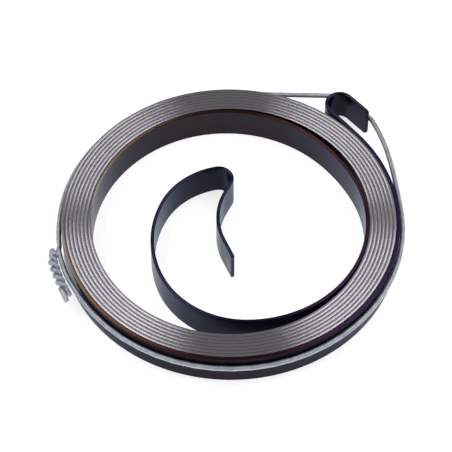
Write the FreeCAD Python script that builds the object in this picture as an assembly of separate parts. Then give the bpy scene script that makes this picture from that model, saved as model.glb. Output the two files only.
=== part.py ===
import FreeCAD, Part
import math
import os

# Sizes are in millimetres and degrees. Directions run counter-clockwise from +X, seen from above.
# The origin is on the coil's axis, level with the lower edges of the strip.

# Flat spring strip
strip_width = 7.0
strip_thick = 0.70
tip_corner = 0.8

# Tight turns, measured to the middle of the strip where the outermost turn begins
coil_radius = 32.68
coil_start = 39.5
coil_quarters = 31
turn_gap = 0.035

# Outer hook, from the coil outwards: a straight lead off the outermost turn, the hook's bend and its leg
lead_length = 8.0
hook_radius = 2.69
hook_turn = 178.1
leg_length = 5.44

# Last turn: drawn in off the tight turns, flatter where a gap shows, then free round the right and the front
drawn_in = 0.9
drawn_turn = 84.5
flatter = 6.5
flatter_turn = 21.0
freed = 3.4
freed_turn = 113.0

# Free loop across the middle of the coil
left_radius = 17.9
left_turn = 70.0
rise_radius = 21.6
rise_turn = 45.6
crown_radius = 14.6
crown_turn = 53.3

# Inner hook: a tight return bend, a neck, the waist that curves the other way and the straight tongue
return_radius = 2.65
return_turn = 127.7
neck_length = 2.6
waist_radius = 13.8
waist_turn = 49.2
tongue_length = 4.4

# Retaining wire round the coil and its outer hook, held clear of the strip by the gap
wire_dia = 1.0
wire_flats = 8
wire_height = 4.85
wire_gap = 0.03

# Beyond the hook the wire lies a little lower, then runs free in a bow and lands on the coil
tip_drop = 0.9
tip_turn = 16.0
landing_place = 6.0

# The wire's two ends, twisted together and folded down beside the coil
twist_place = -166.6
twist_pitch = 3.3
twist_turns = 2.25
twist_gap = 0.04
long_tip = 2.9
short_tip = 1.9
parting_turn = 18.0
bulge = 0.1
stand_out = 0.4
fold_turn = 112.0
fold_rise = 45.0

# What follows from the sizes above
pitch = strip_thick + turn_gap
step = pitch / 4
end_radius = coil_radius - coil_quarters * step
strip_half = strip_thick / 2
wire_half = wire_dia / 2
wire_off = strip_half + wire_gap + wire_half
UP = FreeCAD.Vector(0, 0, 1)
next_to_nothing = 1e-7


def toward(angle):
    """Unit vector in the plane, in a direction given in degrees."""
    return FreeCAD.Vector(math.cos(math.radians(angle)), math.sin(math.radians(angle)), 0)


def follow(place, heading, moves):
    """Walks a route of tangent moves, each (radius, turn) with a left turn positive, or (None, length).

    Gives one leg per move as (place, heading, radius, turn), and the place and heading at the end.
    """
    legs = []
    for radius, turn in moves:
        legs.append((place, heading, radius, turn))
        if radius is None:
            place = place + toward(heading) * turn
        else:
            side = math.copysign(90, turn)
            centre = place + toward(heading + side) * radius
            place = centre - toward(heading + turn + side) * radius
            heading += turn
    return legs, place, heading


def beside(leg, share, offset):
    """The point a share of the way along a leg, offset to its left."""
    place, heading, radius, turn = leg
    moves = [(radius, turn * share)]
    spot, ahead = follow(place, heading, moves)[1:]
    return spot + toward(ahead + 90) * offset


def side_edge(leg, offset):
    """One leg of the strip's outline, a line or an arc at a distance from the route."""
    ends = [beside(leg, share, offset) for share in (0, 0.5, 1)]
    if leg[2] is None:
        return Part.LineSegment(ends[0], ends[2]).toShape()
    return Part.Arc(*ends).toShape()


def coil_centres():
    """Centres of the coil's first four quarter arcs, the corners of a square round the axis."""
    first, second = toward(coil_start - 90), toward(coil_start - 180)
    corner = (first + second) * (-step / 2)
    return [corner, corner + first * step, corner + (first + second) * step, corner + second * step]


def hook_moves():
    """The outer hook's moves, from the coil outwards."""
    return [(None, lead_length), (hook_radius, -hook_turn), (None, leg_length)]


def strip_legs():
    """The whole strip from the tip of its outer hook to the tip of its inner one."""
    start = coil_centres()[0] + toward(coil_start) * coil_radius
    tip, heading = follow(start, coil_start + 90, hook_moves())[1:]
    inward = [(radius, turn if radius is None else -turn) for radius, turn in reversed(hook_moves())]
    tight = [(coil_radius - quarter * step, -90) for quarter in range(coil_quarters)]
    last = [(end_radius - drawn_in, -drawn_turn)]
    last += [(end_radius + flatter, -flatter_turn)]
    last += [(end_radius - freed, -freed_turn)]
    loop = [(left_radius, -left_turn), (rise_radius, -rise_turn), (crown_radius, -crown_turn)]
    inner = [(return_radius, -return_turn), (None, neck_length)]
    inner += [(waist_radius, waist_turn), (None, tongue_length)]
    return follow(tip, heading + 180, inward + tight + last + loop + inner)[0]


def spring_strip():
    """The strip stands on its lower edge: its plan is one outline, raised by the strip's width."""
    legs = strip_legs()
    left = [side_edge(leg, strip_half) for leg in legs]
    right = [side_edge(leg, -strip_half) for leg in legs]
    ends = []
    for leg, share in ((legs[0], 0), (legs[-1], 1)):
        corners = [beside(leg, share, offset) for offset in (strip_half, -strip_half)]
        ends.append(Part.LineSegment(*corners).toShape())
    outline = Part.Wire(left + [ends[1]] + right[::-1] + [ends[0]])
    solid = Part.Face(outline).extrude(UP * strip_width)
    cut_ends = [beside(legs[0], 0, 0), beside(legs[-1], 1, 0)]
    corners = [edge for edge in solid.Edges if any(is_tip_corner(edge, end) for end in cut_ends)]
    return solid.makeFillet(tip_corner, corners).Solids[0]


def is_tip_corner(edge, end):
    """Whether an edge is a short one across the strip's thickness at one of its cut ends."""
    level = abs(edge.Vertexes[0].Z - edge.Vertexes[-1].Z) < strip_thick / 10
    middle = edge.CenterOfMass
    near = math.hypot(middle.x - end.x, middle.y - end.y) < strip_thick / 10
    return level and near


def right_tangent(centre_a, radius_a, centre_b, radius_b):
    """Heading of the line that leaves one right-hand turn and enters another."""
    apart = centre_b - centre_a
    bearing = math.degrees(math.atan2(apart.y, apart.x))
    return bearing + math.degrees(math.asin((radius_b - radius_a) / apart.Length))


def station(centre, radius, angle, lift=0.0):
    """A place on a right-hand turn about a centre, and the direction of travel there."""
    return centre + toward(angle) * radius + UP * (wire_height + lift), toward(angle - 90)


def arc_middle(place, travel, end):
    """Middle of the arc that leaves a place in a direction and ends at a point, or None if it is straight."""
    chord = end - place
    ahead = chord / chord.Length
    rise = travel - ahead * travel.dot(ahead)
    if rise.Length < next_to_nothing:
        return None
    half_turn = math.atan2(rise.Length, travel.dot(ahead))
    return (place + end) / 2 + rise / rise.Length * (chord.Length / 2 * math.tan(half_turn / 2))


def bend_edge(place, travel, end):
    """The line or arc that leaves a place in a direction and ends at a point."""
    middle = arc_middle(place, travel, end)
    if middle is None:
        return Part.LineSegment(place, end).toShape()
    return Part.Arc(place, middle, end).toShape()


def two_bends(here, there):
    """Two arcs, tangent to each other, that join a pair of stations in their directions of travel."""
    place, travel = here
    end, arrival = there
    chord = end - place
    both = travel + arrival
    turned = 2 * (1 - travel.dot(arrival))
    parallel = turned < next_to_nothing
    if parallel and arc_middle(place, travel, end) is None:
        return [bend_edge(place, travel, end)]
    if parallel:
        reach = chord.dot(chord) / (2 * chord.dot(both))
    else:
        reach = (math.sqrt(chord.dot(both) ** 2 + turned * chord.dot(chord)) - chord.dot(both)) / turned
    middle = (place + travel * reach + end - arrival * reach) / 2
    return [bend_edge(place, travel, middle), bend_edge(end, arrival * -1, middle)]


def twist_axis():
    """Radius at which the folded pair lies beside the wire, and how far each strand stands off its middle."""
    stand_off = wire_half + twist_gap / 2
    return coil_radius - 2 * step + wire_off + stand_out + wire_dia + twist_gap + stand_off, stand_off


def strand(phase, tip):
    """One of the two twisted strands, from the crossing down to its cut tip."""
    axis_radius, stand_off = twist_axis()
    centre = coil_centres()[2]
    spread = math.degrees(twist_pitch / axis_radius)
    steps = round(4 * twist_turns)
    stations = []
    for count in range(steps + 1):
        turned = twist_turns * count / steps
        angle = twist_place + spread * turned
        lay = phase + 360 * turned
        out, lift = stand_off * math.cos(math.radians(lay)), stand_off * math.sin(math.radians(lay))
        place = centre + toward(angle) * (axis_radius + out) + UP * (wire_height + lift)
        along = toward(angle + 90) * (twist_pitch * (axis_radius + out) / axis_radius)
        around = (UP * out - toward(angle) * lift) * (2 * math.pi)
        stations.append((place, (along + around).normalize()))
    down = toward(twist_place + spread * twist_turns + 90)
    return stations + [(stations[-1][0] + down * tip, down)]


def fold_stations():
    """The upper strand's way out of the coil's side: a loop that turns it back down into the twist."""
    axis_radius, stand_off = twist_axis()
    centre = coil_centres()[2]
    out_radius = coil_radius - 2 * step + wire_off + stand_out
    fold_radius = (axis_radius - out_radius) / (1 + math.cos(math.radians(fold_rise)))
    fold_angle = twist_place - math.degrees(fold_radius * math.sin(math.radians(fold_rise)) / axis_radius)
    fold_centre = centre + toward(fold_angle) * (out_radius + fold_radius) + UP * (wire_height + stand_off)
    stations = []
    for turn in (0, fold_turn):
        away = toward(fold_angle + 180 + turn)
        stations.append((fold_centre + away * fold_radius, toward(fold_angle - 90 + turn)))
    return stations


def loop_stations():
    """The wire's way round, clockwise from its crossing: the coil's back, the hook, the coil's front."""
    centres = coil_centres()
    radii = [coil_radius - quarter * step + wire_off for quarter in range(4)]
    joins = [coil_start - 90 * (quarter + 1) for quarter in range(4)]
    start = centres[0] + toward(coil_start) * coil_radius
    legs, tip, leg_heading = follow(start, coil_start + 90, hook_moves())
    bend_centre = beside(legs[1], 0, -hook_radius)
    bend_radius = hook_radius + wire_off
    run = right_tangent(centres[3], radii[3], bend_centre, bend_radius) + 90
    stand_off = twist_axis()[1]
    return [
        station(centres[2], radii[2] + bulge, twist_place - parting_turn / 3, -stand_off),
        station(centres[2], radii[2], twist_place - parting_turn),
        station(centres[2], radii[2], joins[2]),
        station(centres[3], radii[3], run),
        station(bend_centre, bend_radius, run),
        station(bend_centre, bend_radius, leg_heading + 90),
        station(tip, wire_off, leg_heading + 90, -tip_drop),
        station(tip, wire_off, leg_heading + 90 - tip_turn, -tip_drop),
        station(centres[0], radii[0], landing_place),
        station(centres[0], radii[0], joins[0]),
        station(centres[1], radii[1], joins[1]),
        station(centres[2], radii[2], twist_place + parting_turn),
        station(centres[2], radii[2] + stand_out, twist_place + parting_turn / 3, stand_off),
    ]


def wire_stations():
    """The whole wire, from the cut tip of its lower strand to that of its upper one."""
    lower = [(place, travel * -1) for place, travel in reversed(strand(-90, long_tip))]
    return lower + loop_stations() + fold_stations() + strand(90, short_tip)


def wire_section(place, travel):
    """The wire's round, drawn with a few flats, square to its way."""
    side = travel.cross(UP).normalize()
    rise = side.cross(travel)
    corners = []
    for flat in range(wire_flats + 1):
        angle = math.radians(360 / wire_flats * (flat + 0.5))
        corners.append(place + (side * math.cos(angle) + rise * math.sin(angle)) * wire_half)
    return Part.Face(Part.makePolygon(corners))


def retaining_wire():
    """One wire, swept along its whole way."""
    stations = wire_stations()
    route = Part.Wire([edge for pair in zip(stations, stations[1:]) for edge in two_bends(*pair)])
    return route.makePipe(wire_section(*stations[0]))


os.makedirs("parts", exist_ok=True)
spring_strip().exportStep("parts/spring_strip.step")
retaining_wire().exportStep("parts/retaining_wire.step")
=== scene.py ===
import math

import bpy
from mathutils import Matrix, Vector


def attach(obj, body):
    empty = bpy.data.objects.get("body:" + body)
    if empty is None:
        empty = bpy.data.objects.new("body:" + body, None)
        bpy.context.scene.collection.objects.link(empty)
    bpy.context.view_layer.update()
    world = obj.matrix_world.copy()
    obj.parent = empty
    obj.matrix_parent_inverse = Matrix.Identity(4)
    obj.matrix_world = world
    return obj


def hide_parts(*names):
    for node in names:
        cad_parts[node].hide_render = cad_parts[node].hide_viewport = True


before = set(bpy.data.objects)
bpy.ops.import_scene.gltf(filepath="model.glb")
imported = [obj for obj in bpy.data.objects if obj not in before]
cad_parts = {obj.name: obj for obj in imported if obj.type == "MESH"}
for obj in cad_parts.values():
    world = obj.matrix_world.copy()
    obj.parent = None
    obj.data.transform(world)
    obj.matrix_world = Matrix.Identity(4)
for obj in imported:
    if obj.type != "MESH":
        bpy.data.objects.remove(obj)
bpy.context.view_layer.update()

# Lengths are in millimetres and angles in degrees. MM turns lengths into Blender's metres
MM = 0.001
UP = Vector((0, 0, 1))

# The strip's section: its long edges are crowned, with a small round at each corner
STRIP_WIDTH = 7.0
STRIP_THICK = 0.70
CROWN_RADIUS = 0.60
CORNER_RADIUS = 0.07
EDGE_STEPS = 3
FACE_MARGIN = 0.12

# The strip's two cut ends: the corners of its wide face, the round of the cut, and how near to it stations
# are set, as shares of the outer tip's corner
TIP_CORNER = 0.8
TONGUE_CORNER = 0.35
TIP_ROUND = 0.2
NEAR_TIP = (0.02, 0.08, 0.2, 0.4, 0.7, 1.0)

# The strip's route in plan, as in the solid that it replaces: the tight turns and the outer hook.
# Each move of a route is a radius and a turn, or None and a straight length
COIL_RADIUS = 32.68
COIL_START = 39.5
COIL_QUARTERS = 31
QUARTER_STEP = 0.18375
OUTER_HOOK = [(None, 8.0), (2.69, -178.1), (None, 5.44)]

# Then the last turn, the free loop and the inner hook
END_RADIUS = COIL_RADIUS - COIL_QUARTERS * QUARTER_STEP
LAST_TURN = [(END_RADIUS - 0.9, -84.5), (END_RADIUS + 6.5, -21.0), (END_RADIUS - 3.4, -113.0)]
FREE_LOOP = [(17.9, -70.0), (21.6, -45.6), (14.6, -53.3)]
INNER_HOOK = [(2.65, -127.7), (None, 2.6), (13.8, 49.2), (None, 4.4)]

# How finely the route is followed
LONGEST_STEP = 0.7
WIDEST_STEP = 7.0


def toward(angle):
    """Unit vector in the plane, in a direction given in degrees."""
    return Vector((math.cos(math.radians(angle)), math.sin(math.radians(angle)), 0))


def move_length(move):
    """Length of one move along its line or arc."""
    radius, turn = move
    return turn if radius is None else radius * abs(math.radians(turn))


def move_on(place, heading, move, share=1.0):
    """Where a share of one tangent move leads."""
    radius, turn = move
    if radius is None:
        return place + toward(heading) * turn * share, heading
    side = math.copysign(90, turn)
    centre = place + toward(heading + side) * radius
    heading += turn * share
    return centre - toward(heading + side) * radius, heading


def steps_of(move):
    """How many steps one move is divided into."""
    radius, turn = move
    by_length = math.ceil(move_length(move) / LONGEST_STEP)
    by_angle = 1 if radius is None else math.ceil(abs(turn) / WIDEST_STEP)
    return max(by_length, by_angle)


def coil_centres():
    """Centres of the coil's first four quarter arcs, the corners of a square round the axis."""
    first, second = toward(COIL_START - 90), toward(COIL_START - 180)
    corner = (first + second) * (-QUARTER_STEP / 2)
    return [
        corner,
        corner + first * QUARTER_STEP,
        corner + (first + second) * QUARTER_STEP,
        corner + second * QUARTER_STEP,
    ]


def coil_end():
    """Where the coil's outermost turn meets the outer hook's lead, and the hook's heading there."""
    return coil_centres()[0] + toward(COIL_START) * COIL_RADIUS, COIL_START + 90


def strip_route():
    """Stations along the strip, from its outer tip to its inner one: place, heading and length so far."""
    place, heading = coil_end()
    for move in OUTER_HOOK:
        place, heading = move_on(place, heading, move)
    heading += 180
    moves = [(radius, turn if radius is None else -turn) for radius, turn in reversed(OUTER_HOOK)]
    moves += [(COIL_RADIUS - quarter * QUARTER_STEP, -90) for quarter in range(COIL_QUARTERS)]
    moves += LAST_TURN + FREE_LOOP + INNER_HOOK
    stations = [(place, heading, 0.0)]
    travelled = 0.0
    for move in moves:
        steps = steps_of(move)
        for step in range(1, steps + 1):
            spot, ahead = move_on(place, heading, move, step / steps)
            stations.append((spot, ahead, travelled + move_length(move) * step / steps))
        place, heading = spot, ahead
        travelled += move_length(move)
    return stations


def with_tip_stations(stations, total):
    """Adds stations close to both tips, where the section changes quickly."""
    near_tips = [share * TIP_CORNER for share in NEAR_TIP]
    first_place, first_heading = stations[0][0], stations[0][1]
    last_place, last_heading = stations[-1][0], stations[-1][1]
    start = [(first_place + toward(first_heading) * away, first_heading, away) for away in near_tips]
    end = [(last_place - toward(last_heading) * away, last_heading, total - away) for away in near_tips[::-1]]
    middle = [station for station in stations if near_tips[-1] < station[2] < total - near_tips[-1]]
    return [stations[0]] + start + middle + end + [stations[-1]]


def rounding(distance, radius):
    """How far a rounded corner falls back from its tangent line, at a distance from its end."""
    short = max(radius - distance, 0.0)
    return radius - math.sqrt(radius ** 2 - short ** 2)


def edge_profile(half):
    """Half of a crowned edge, from the wide face to the crown: (across, below the crown, rim)."""
    meet = math.acos((half - CORNER_RADIUS) / (CROWN_RADIUS - CORNER_RADIUS))
    sunk = CROWN_RADIUS - (CROWN_RADIUS - CORNER_RADIUS) * math.sin(meet)
    points = [(half, sunk + FACE_MARGIN, 0.0)]
    for step in range(EDGE_STEPS + 1):
        angle = meet * step / EDGE_STEPS
        across = half - CORNER_RADIUS * (1 - math.cos(angle))
        points.append((across, sunk - CORNER_RADIUS * math.sin(angle), math.sin(angle)))
    for step in range(1, EDGE_STEPS + 1):
        angle = meet + (math.pi / 2 - meet) * step / EDGE_STEPS
        points.append((CROWN_RADIUS * math.cos(angle), CROWN_RADIUS * (1 - math.sin(angle)), math.sin(angle)))
    return points


def section(travelled, total):
    """Points round the strip's section, as (across, height, rim), narrowed close to its rounded ends."""
    from_end = min(travelled, total - travelled)
    corner = TIP_CORNER if travelled < total / 2 else TONGUE_CORNER
    quarter = edge_profile(STRIP_THICK / 2 - rounding(from_end, TIP_ROUND))
    low = rounding(from_end, corner)
    high = STRIP_WIDTH - low
    top = [(across, high - below, rim) for across, below, rim in quarter]
    top += [(-across, high - below, rim) for across, below, rim in quarter[-2::-1]]
    return top + [(-across, low + high - height, rim) for across, height, rim in top]


def make_strip():
    """One closed mesh for the whole strip.

    Each point keeps its length along the strip, its nearness to a crowned edge, and the way ahead.
    """
    stations = strip_route()
    total = stations[-1][2]
    stations = with_tip_stations(stations, total)
    places, along, rim, ahead = [], [], [], []
    for place, heading, travelled in stations:
        across = toward(heading + 90)
        for offset, height, nearness in section(travelled, total):
            spot = place + across * offset
            places.append((spot.x * MM, spot.y * MM, height * MM))
            along.append(travelled)
            rim.append(nearness)
            ahead.extend(toward(heading))
    count = len(section(0.0, total))
    faces = []
    for ring in range(len(stations) - 1):
        base = ring * count
        for point in range(count):
            beyond = (point + 1) % count
            faces.append((base + point, base + beyond, base + count + beyond, base + count + point))
    last = (len(stations) - 1) * count
    faces.append(tuple(range(count - 1, -1, -1)))
    faces.append(tuple(range(last, last + count)))
    mesh = bpy.data.meshes.new("strip")
    mesh.from_pydata(places, [], faces)
    mesh.attributes.new("along", "FLOAT", "POINT").data.foreach_set("value", along)
    mesh.attributes.new("rim", "FLOAT", "POINT").data.foreach_set("value", rim)
    mesh.attributes.new("ahead", "FLOAT_VECTOR", "POINT").data.foreach_set("vector", ahead)
    mesh.shade_smooth()
    mesh.validate()
    strip = bpy.data.objects.new("strip", mesh)
    bpy.context.scene.collection.objects.link(strip)
    return strip, total


# The retaining wire, as in the solid that it replaces, but round
WIRE_DIA = 1.0
WIRE_HEIGHT = 4.85
WIRE_GAP = 0.03
TIP_DROP = 0.9
TIP_TURN = 16.0
LANDING_PLACE = 6.0
WIRE_ROUND_STEPS = 5
WIRE_BEND_STEPS = 14

# Its crossing and its two ends, twisted together
TWIST_PLACE = -166.6
TWIST_PITCH = 3.3
TWIST_TURNS = 2.25
TWIST_STEPS_PER_TURN = 4
TWIST_GAP = 0.04
UPPER_PHASE = 90
LOWER_PHASE = -90
LONG_TIP = 2.9
SHORT_TIP = 1.9
PARTING_TURN = 18.0
BULGE = 0.1
STAND_OUT = 0.4
FOLD_TURN = 112.0
FOLD_RISE = 45.0

# How far the wire's middle lies from the strip's, and the radii and spacing of the twist
WIRE_OFF = STRIP_THICK / 2 + WIRE_GAP + WIRE_DIA / 2
OUT_RADIUS = COIL_RADIUS - 2 * QUARTER_STEP + WIRE_OFF + STAND_OUT
STAND_OFF = WIRE_DIA / 2 + TWIST_GAP / 2
TWIST_RADIUS = OUT_RADIUS + WIRE_DIA + TWIST_GAP + STAND_OFF


def bearing(across):
    """Direction of a vector in the plane, in degrees."""
    return math.degrees(math.atan2(across.y, across.x))


def right_turn(centre, radius, angle, lift=0.0):
    """A place on a right-hand turn about a centre, and the direction of travel there."""
    return centre + toward(angle) * radius + UP * (WIRE_HEIGHT + lift), toward(angle - 90)


def strand(phase, tip):
    """One of the two twisted strands, from the crossing down to its cut tip."""
    centre = coil_centres()[2]
    spread = math.degrees(TWIST_PITCH / TWIST_RADIUS)
    steps = round(TWIST_STEPS_PER_TURN * TWIST_TURNS)
    stations = []
    for count in range(steps + 1):
        turned = TWIST_TURNS * count / steps
        angle = TWIST_PLACE + spread * turned
        lay = math.radians(phase + 360 * turned)
        out, lift = STAND_OFF * math.cos(lay), STAND_OFF * math.sin(lay)
        place = centre + toward(angle) * (TWIST_RADIUS + out) + UP * (WIRE_HEIGHT + lift)
        along = toward(angle + 90) * (TWIST_PITCH * (TWIST_RADIUS + out) / TWIST_RADIUS)
        around = (UP * out - toward(angle) * lift) * (2 * math.pi)
        stations.append((place, (along + around).normalized()))
    down = toward(TWIST_PLACE + spread * TWIST_TURNS + 90)
    return stations + [(stations[-1][0] + down * tip, down)]


def fold_stations():
    """The loop that turns the upper strand back down into the twist."""
    rise = math.radians(FOLD_RISE)
    fold_radius = (TWIST_RADIUS - OUT_RADIUS) / (1 + math.cos(rise))
    fold_angle = TWIST_PLACE - math.degrees(fold_radius * math.sin(rise) / TWIST_RADIUS)
    centre = coil_centres()[2] + toward(fold_angle) * (OUT_RADIUS + fold_radius)
    return [right_turn(centre, fold_radius, fold_angle + 180 + turn, STAND_OFF) for turn in (0, FOLD_TURN)]


def round_the_coil():
    """The wire's way clockwise from its crossing: the coil's back, the hook, the coil's front."""
    centres = coil_centres()
    radii = [COIL_RADIUS - quarter * QUARTER_STEP + WIRE_OFF for quarter in range(4)]
    bend_start, heading = move_on(*coil_end(), OUTER_HOOK[0])
    hook_radius = OUTER_HOOK[1][0]
    bend = bend_start + toward(heading - 90) * hook_radius
    tip, heading = move_on(*move_on(bend_start, heading, OUTER_HOOK[1]), OUTER_HOOK[2])
    bend_radius = hook_radius + WIRE_OFF
    apart = bend - centres[3]
    run = bearing(apart) + math.degrees(math.asin((bend_radius - radii[3]) / apart.length)) + 90
    return [
        right_turn(centres[2], radii[2] + BULGE, TWIST_PLACE - PARTING_TURN / 3, -STAND_OFF),
        right_turn(centres[2], radii[2], TWIST_PLACE - PARTING_TURN),
        right_turn(centres[2], radii[2], COIL_START - 270),
        right_turn(centres[3], radii[3], run),
        right_turn(bend, bend_radius, run),
        right_turn(bend, bend_radius, heading + 90),
        right_turn(tip, WIRE_OFF, heading + 90, -TIP_DROP),
        right_turn(tip, WIRE_OFF, heading + 90 - TIP_TURN, -TIP_DROP),
        right_turn(centres[0], radii[0], LANDING_PLACE),
        right_turn(centres[0], radii[0], COIL_START - 90),
        right_turn(centres[1], radii[1], COIL_START - 180),
        right_turn(centres[2], radii[2], TWIST_PLACE + PARTING_TURN),
        right_turn(centres[2], radii[2] + STAND_OUT, TWIST_PLACE + PARTING_TURN / 3, STAND_OFF),
    ]


def make_wire():
    """One round wire as a smooth curve through its stations, tangent to the way at each."""
    lower = [(place, -travel) for place, travel in reversed(strand(LOWER_PHASE, LONG_TIP))]
    stations = lower + round_the_coil() + fold_stations() + strand(UPPER_PHASE, SHORT_TIP)
    curve = bpy.data.curves.new("wire", "CURVE")
    curve.dimensions = "3D"
    curve.bevel_depth = WIRE_DIA / 2 * MM
    curve.bevel_resolution = WIRE_ROUND_STEPS
    curve.resolution_u = WIRE_BEND_STEPS
    curve.use_fill_caps = True
    spline = curve.splines.new("BEZIER")
    spline.bezier_points.add(len(stations) - 1)
    for point, (place, travel) in zip(spline.bezier_points, stations):
        point.handle_left_type = point.handle_right_type = "FREE"
        point.co = point.handle_left = point.handle_right = place * MM
    for count in range(len(stations) - 1):
        (place, travel), (end, arrival) = stations[count:count + 2]
        # Handles of this length make the curve follow the arc between two tangents
        reach = (end - place).length / (1.5 * (1 + math.cos(travel.angle(arrival) / 2)))
        spline.bezier_points[count].handle_right = (place + travel * reach) * MM
        spline.bezier_points[count + 1].handle_left = (end - arrival * reach) * MM
    wire = bpy.data.objects.new("wire", curve)
    bpy.context.scene.collection.objects.link(wire)
    return wire


class Shader:
    """A material under construction, with short ways to add and join its nodes."""

    def __init__(self, name):
        self.material = bpy.data.materials.new(name)
        self.material.use_nodes = True
        self.tree = self.material.node_tree
        self.surface = self.tree.nodes["Principled BSDF"]

    def add(self, kind, inputs=(), **settings):
        """Adds a node; its inputs are values or other nodes' outputs."""
        made = self.tree.nodes.new("ShaderNode" + kind)
        for name, value in settings.items():
            setattr(made, name, value)
        for name, value in dict(inputs).items():
            self.feed(made.inputs[name], value)
        return made

    def feed(self, socket, value):
        """Sets a socket, or links it where the value is another node's output."""
        if isinstance(value, bpy.types.NodeSocket):
            self.tree.links.new(value, socket)
        else:
            socket.default_value = value

    def kept(self, name):
        """A number that each point of the mesh keeps."""
        return self.add("Attribute", attribute_name=name).outputs["Fac"]

    def math(self, operation, *values):
        """The result of one sum."""
        return self.add("Math", enumerate(values), operation=operation).outputs[0]

    def fit(self, value, low, high, to_low=0.0, to_high=1.0):
        """Maps a range of values smoothly on to another."""
        inputs = {"Value": value, "From Min": low, "From Max": high, "To Min": to_low, "To Max": to_high}
        return self.add("MapRange", inputs, interpolation_type="SMOOTHSTEP").outputs[0]

    def mix(self, share, first, second):
        """A number between two others."""
        return self.add("Mix", [(0, share), (2, first), (3, second)]).outputs[0]

    def blend(self, share, first, second, blend_type="MIX"):
        """A colour between two others, or the first one changed by the second."""
        inputs = [(0, share), (6, first), (7, second)]
        return self.add("Mix", inputs, data_type="RGBA", blend_type=blend_type).outputs[2]

    def noise(self, vector, scale, detail=3.0):
        """Cloudy noise, about 0.5 on average."""
        return self.add("TexNoise", {"Vector": vector, "Scale": scale, "Detail": detail}).outputs[0]

    def vector(self, x, y, z):
        """Three numbers as a vector."""
        return self.add("CombineXYZ", enumerate((x, y, z))).outputs[0]

    def ramp(self, value, stops):
        """A colour from stops of a place and a colour."""
        made = self.add("ValToRGB", {"Fac": value})
        while len(made.color_ramp.elements) < len(stops):
            made.color_ramp.elements.new(1.0)
        for element, (place, colour) in zip(made.color_ramp.elements, stops):
            element.position = place
            element.color = (*colour, 1.0)
        return made.outputs["Color"]


# Colours along the strip, at a distance from its outer tip, or before its inner tip where negative.
# The last stop is the inner tip itself
EDGE_COLOURS = [
    (0.0, (0.045, 0.045, 0.060)),
    (10.0, (0.050, 0.065, 0.150)),
    (22.0, (0.030, 0.032, 0.060)),
    (44.0, (0.045, 0.035, 0.150)),
    (72.0, (0.075, 0.028, 0.080)),
    (95.0, (0.130, 0.032, 0.033)),
    (110.0, (0.150, 0.050, 0.032)),
    (128.0, (0.220, 0.130, 0.065)),
    (143.0, (0.380, 0.330, 0.310)),
    (156.0, (0.530, 0.505, 0.545)),
    (-205.0, (0.530, 0.505, 0.545)),
    (-182.0, (0.230, 0.160, 0.090)),
    (-168.0, (0.180, 0.095, 0.045)),
    (-154.0, (0.105, 0.045, 0.028)),
    (-138.0, (0.125, 0.035, 0.032)),
    (-116.0, (0.090, 0.027, 0.045)),
    (-90.0, (0.050, 0.028, 0.110)),
    (-60.0, (0.055, 0.042, 0.120)),
    (0.0, (0.045, 0.042, 0.105)),
]
# The wide faces' colours are partly their dark oxide and partly painted shade. The near-black stops, from 128
# mm past the outer tip to 205 mm before the inner tip, are darker than the oxide. They stand in for the shade
# on the outer wall above the wire and for the dark reflections on the inner wall.
FACE_OXIDE_AND_SHADE = [
    (0.0, (0.015, 0.015, 0.019)),
    (22.0, (0.009, 0.009, 0.014)),
    (44.0, (0.010, 0.009, 0.020)),
    (95.0, (0.018, 0.011, 0.015)),
    (128.0, (0.008, 0.007, 0.009)),
    (160.0, (0.004, 0.003, 0.006)),
    (-205.0, (0.004, 0.003, 0.006)),
    (-160.0, (0.025, 0.017, 0.019)),
    (-120.0, (0.015, 0.014, 0.022)),
    (-60.0, (0.005, 0.008, 0.016)),
    (-30.0, (0.009, 0.010, 0.018)),
    (-8.0, (0.016, 0.022, 0.034)),
    (-3.0, (0.045, 0.040, 0.040)),
    (0.0, (0.030, 0.028, 0.038)),
]

# Noise over the strip: its scale along, its scale in height, its layer and its detail. The beads vary along
# the strip alone, and darken its edges
STREAKS = (0.02, 4.0, 0.0, 4.0)
CLOUDS = (0.12, 0.25, 3.0, 3.0)
BEADS = (0.45, 0.0, 7.0, 2.0)
CLOUD_COLOUR = (0.014, 0.018, 0.032, 1.0)
CLOUD_MOST = 0.3
CLOUD_RANGE = (0.40, 0.70)
BEAD_COLOUR = (0.50, 0.47, 0.50, 1.0)
BEAD_MOST = 0.12
BEAD_RANGE = (0.35, 0.65)

# The range of a noise that its roughness follows
NOISE_RANGE = (0.3, 0.7)

# A small rubbed place on the tongue: how far from its tip and how high its middle is, and its spread
RUBBED_FROM_TIP = 1.6
RUBBED_HEIGHT = 2.7
RUBBED_SCALE = (0.55, 0.40)
RUBBED_FADE = (1.5, 0.7)
RUBBED_COLOUR = (0.145, 0.104, 0.080, 1.0)

# Temper colours reach this far from the outer tip and before the inner tip, over a fade
OUTER_TEMPER = (110.0, 150.0)
INNER_TEMPER = (200.0, 170.0)

# Where on the rounded rim the edge's colour begins and is full: on the bare turns and on the tempered ones
BARE_RIM = (0.05, 0.35)
TEMPERED_RIM = (0.86, 0.97)

# The strip is rolled, and its edges are dressed lengthwise, so its highlights spread across the strokes
FACE_BRUSHED = 0.75
EDGE_BRUSHED = 1.0
FACE_ROUGHNESS = (0.20, 0.30)
EDGE_ROUGHNESS = (0.27, 0.30)
TEMPERED_ROUGHER = 0.16
STREAK_BUMP = 0.08
BUMP_DEPTH = 0.02
GRAZING_TINT = (0.80, 0.84, 0.94, 1.0)


def along_strip(stops, total):
    """The ramp's stops as shares of the strip's whole length."""
    inner_half = False
    placed = []
    for distance, colour in stops:
        inner_half = inner_half or distance < 0
        placed.append(((total + distance) / total if inner_half else distance / total, colour))
    return placed


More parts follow.
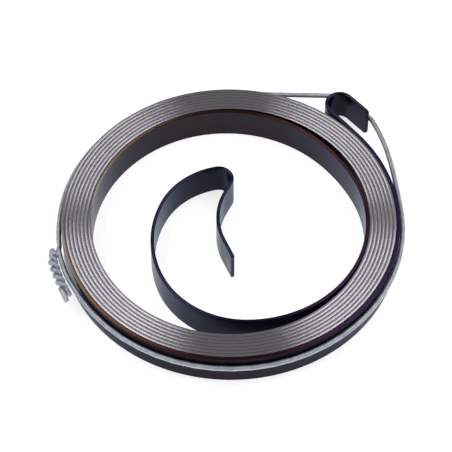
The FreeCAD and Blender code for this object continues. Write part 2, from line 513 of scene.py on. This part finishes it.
def strip_material(total):
    """Tempered strip: dark oxide on its wide faces, with painted shade in their darkest stretches, brighter
    dressed edges, temper colours near its ends.
    """
    shader = Shader("tempered_strip")
    surface = shader.surface.inputs
    along = shader.kept("along")
    rim = shader.kept("rim")
    geometry = shader.add("NewGeometry").outputs
    height = shader.add("SeparateXYZ", {0: geometry["Position"]}).outputs[2]
    height = shader.math("DIVIDE", height, MM)

    def noise_over_strip(along_scale, height_scale, layer, detail):
        place = shader.vector(shader.math("MULTIPLY", along, along_scale),
                              shader.math("MULTIPLY", height, height_scale), layer)
        return shader.noise(place, 1.0, detail)

    streaks = noise_over_strip(*STREAKS)
    clouds = noise_over_strip(*CLOUDS)
    beads = noise_over_strip(*BEADS)

    # Where the strip is tempered, its colour is a narrower line along the rim
    outer_end = shader.fit(along, *OUTER_TEMPER, 1.0, 0.0)
    inner_end = shader.fit(along, total - INNER_TEMPER[0], total - INNER_TEMPER[1])
    tempered = shader.math("ADD", outer_end, inner_end)
    begins = shader.math("MULTIPLY_ADD", tempered, TEMPERED_RIM[0] - BARE_RIM[0], BARE_RIM[0])
    is_full = shader.math("MULTIPLY_ADD", tempered, TEMPERED_RIM[1] - BARE_RIM[1], BARE_RIM[1])
    on_edge = shader.fit(rim, begins, is_full)

    # Colour
    position = shader.math("DIVIDE", along, total)
    # The face ramp carries painted shade in its near-black stretches
    face = shader.ramp(position, along_strip(FACE_OXIDE_AND_SHADE, total))
    face = shader.blend(shader.fit(clouds, *CLOUD_RANGE, 0.0, CLOUD_MOST), face, CLOUD_COLOUR)
    past_middle = shader.math("SUBTRACT", along, total - RUBBED_FROM_TIP)
    above_middle = shader.math("SUBTRACT", height, RUBBED_HEIGHT)
    from_middle = shader.vector(shader.math("MULTIPLY", past_middle, RUBBED_SCALE[0]),
                                shader.math("MULTIPLY", above_middle, RUBBED_SCALE[1]), 0.0)
    from_middle = shader.add("VectorMath", {0: from_middle}, operation="LENGTH").outputs["Value"]
    rubbed = shader.fit(shader.math("ADD", from_middle, streaks), *RUBBED_FADE)
    face = shader.blend(rubbed, face, RUBBED_COLOUR)
    edge = shader.ramp(position, along_strip(EDGE_COLOURS, total))
    edge = shader.blend(shader.fit(beads, *BEAD_RANGE, BEAD_MOST, 0.0), edge, BEAD_COLOUR, "MULTIPLY")
    shader.feed(surface["Base Color"], shader.blend(on_edge, face, edge))

    # Gloss
    rough_face = shader.fit(streaks, *NOISE_RANGE, *FACE_ROUGHNESS)
    rough_edge = shader.fit(beads, *NOISE_RANGE, *EDGE_ROUGHNESS)
    rough_edge = shader.math("MULTIPLY_ADD", tempered, TEMPERED_ROUGHER, rough_edge)
    shader.feed(surface["Roughness"], shader.mix(on_edge, rough_face, rough_edge))
    shader.feed(surface["Metallic"], 1.0)
    shader.feed(surface["Specular Tint"], GRAZING_TINT)
    shader.feed(surface["Anisotropic"], shader.fit(rim, *BARE_RIM, FACE_BRUSHED, EDGE_BRUSHED))
    ahead = shader.add("Attribute", attribute_name="ahead").outputs["Vector"]
    across = shader.add("VectorMath", {0: geometry["Normal"], 1: ahead}, operation="CROSS_PRODUCT")
    shader.feed(surface["Tangent"], across.outputs[0])

    # The rolled streaks of the wide faces
    relief = shader.math("MULTIPLY", streaks, shader.math("SUBTRACT", 1.0, on_edge))
    bump = shader.add("Bump", {"Height": relief, "Strength": STREAK_BUMP, "Distance": BUMP_DEPTH * MM})
    shader.feed(surface["Normal"], bump.outputs[0])
    return shader.material


# The wire's zinc: its mottling and its grain, by their scales per metre, its two colours and its roughness
SPANGLE_SCALE = 900.0
SPANGLE_RANGE = (0.35, 0.65)
GRAIN_SCALE = 5000.0
DARK_ZINC = (0.44, 0.47, 0.54, 1.0)
PALE_ZINC = (0.57, 0.60, 0.66, 1.0)
ZINC_ROUGHNESS = (0.56, 0.62)
GRAIN_BUMP = 0.1


def wire_material():
    """Galvanised binding wire: pale zinc with faint mottling and a fine grain."""
    shader = Shader("galvanised_wire")
    surface = shader.surface.inputs
    position = shader.add("NewGeometry").outputs["Position"]
    spangle = shader.noise(position, SPANGLE_SCALE, 3.0)
    grain = shader.noise(position, GRAIN_SCALE, 2.0)
    mottling = shader.fit(spangle, *SPANGLE_RANGE)
    shader.feed(surface["Base Color"], shader.blend(mottling, DARK_ZINC, PALE_ZINC))
    shader.feed(surface["Metallic"], 1.0)
    shader.feed(surface["Roughness"], shader.fit(grain, *NOISE_RANGE, *ZINC_ROUGHNESS))
    bump = shader.add("Bump", {"Height": grain, "Strength": GRAIN_BUMP, "Distance": BUMP_DEPTH * MM})
    shader.feed(surface["Normal"], bump.outputs[0])
    return shader.material


# The floor lies just below the strip. Its glow makes up what its own lit colour lacks of white
FLOOR_REACH = 20000.0
FLOOR_DROP = 0.02
FLOOR_COLOUR = (0.80, 0.80, 0.80, 1.0)
FLOOR_GLOW = 0.68

# Two long soft lamps overhead, one on either side: left side, right side, front end, back end and power
LAMP_HEIGHT = 500.0
LAMPS = [
    ("lamp_left", -500.0, -160.0, -290.0, 385.0, 1.7),
    ("lamp_right", 200.0, 540.0, -250.0, 390.0, 1.7),
]
SKY_COLOUR = (1.0, 1.0, 1.0, 1.0)
SKY_STRENGTH = 0.22


def make_floor():
    """A wide pale floor that the camera and the metal see as white, and that keeps the spring's shadow."""
    reach = FLOOR_REACH * MM
    level = -FLOOR_DROP * MM
    corners = [(-reach, -reach, level), (reach, -reach, level), (reach, reach, level), (-reach, reach, level)]
    mesh = bpy.data.meshes.new("floor")
    mesh.from_pydata(corners, [], [(0, 1, 2, 3)])
    floor = bpy.data.objects.new("floor", mesh)
    bpy.context.scene.collection.objects.link(floor)
    shader = Shader("floor_white")
    shader.tree.nodes.remove(shader.surface)
    paper = shader.add("BsdfDiffuse", {"Color": FLOOR_COLOUR})
    ray = shader.add("LightPath").outputs
    seen = shader.math("MAXIMUM", ray["Is Camera Ray"], ray["Is Glossy Ray"])
    seen = shader.math("MAXIMUM", seen, ray["Is Transmission Ray"])
    glow = shader.add("Emission", {"Strength": shader.math("MULTIPLY", seen, FLOOR_GLOW)})
    both = shader.add("AddShader", {0: paper.outputs[0], 1: glow.outputs[0]})
    output = shader.tree.nodes["Material Output"]
    shader.feed(output.inputs["Surface"], both.outputs[0])
    mesh.materials.append(shader.material)


def make_lights():
    """Two long lamps and a dim sky."""
    for name, left, right, front, back, power in LAMPS:
        lamp = bpy.data.lights.new(name, "AREA")
        lamp.shape = "RECTANGLE"
        lamp.size = (right - left) * MM
        lamp.size_y = (back - front) * MM
        lamp.energy = power
        panel = bpy.data.objects.new(name, lamp)
        panel.location = Vector(((left + right) / 2, (front + back) / 2, LAMP_HEIGHT)) * MM
        bpy.context.scene.collection.objects.link(panel)
    world = bpy.data.worlds.new("sky")
    world.use_nodes = True
    sky = world.node_tree.nodes["Background"]
    sky.inputs["Color"].default_value = SKY_COLOUR
    sky.inputs["Strength"].default_value = SKY_STRENGTH
    bpy.context.scene.world = world


# The camera is in front, far off and high up, with a long lens
CAMERA_DISTANCE = 440.0
CAMERA_ELEVATION = 53.862
CAMERA_LENS = 178.5
CAMERA_SENSOR = 36.0
CAMERA_SHIFT = (-0.0085, 0.0286)
CAMERA_NEAREST = 10.0


def make_camera():
    """The camera, turned to the coil's axis, with the photograph's framing from its shift."""
    lens = bpy.data.cameras.new("camera")
    lens.lens = CAMERA_LENS
    lens.sensor_width = CAMERA_SENSOR
    lens.shift_x, lens.shift_y = CAMERA_SHIFT
    lens.clip_start = CAMERA_NEAREST * MM
    lens.clip_end = FLOOR_REACH * MM
    camera = bpy.data.objects.new("camera", lens)
    rise = math.radians(CAMERA_ELEVATION)
    camera.location = Vector((0, -math.cos(rise), math.sin(rise))) * CAMERA_DISTANCE * MM
    camera.rotation_euler = (math.pi / 2 - rise, 0, 0)
    bpy.context.scene.collection.objects.link(camera)
    bpy.context.scene.camera = camera


strip, strip_length = make_strip()
strip.data.materials.append(strip_material(strip_length))
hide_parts("spring_strip")
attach(strip, "root")
wire = make_wire()
wire.data.materials.append(wire_material())
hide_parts("retaining_wire")
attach(wire, "root")
make_floor()
make_lights()
make_camera()
bpy.context.scene.view_settings.view_transform = "Standard"
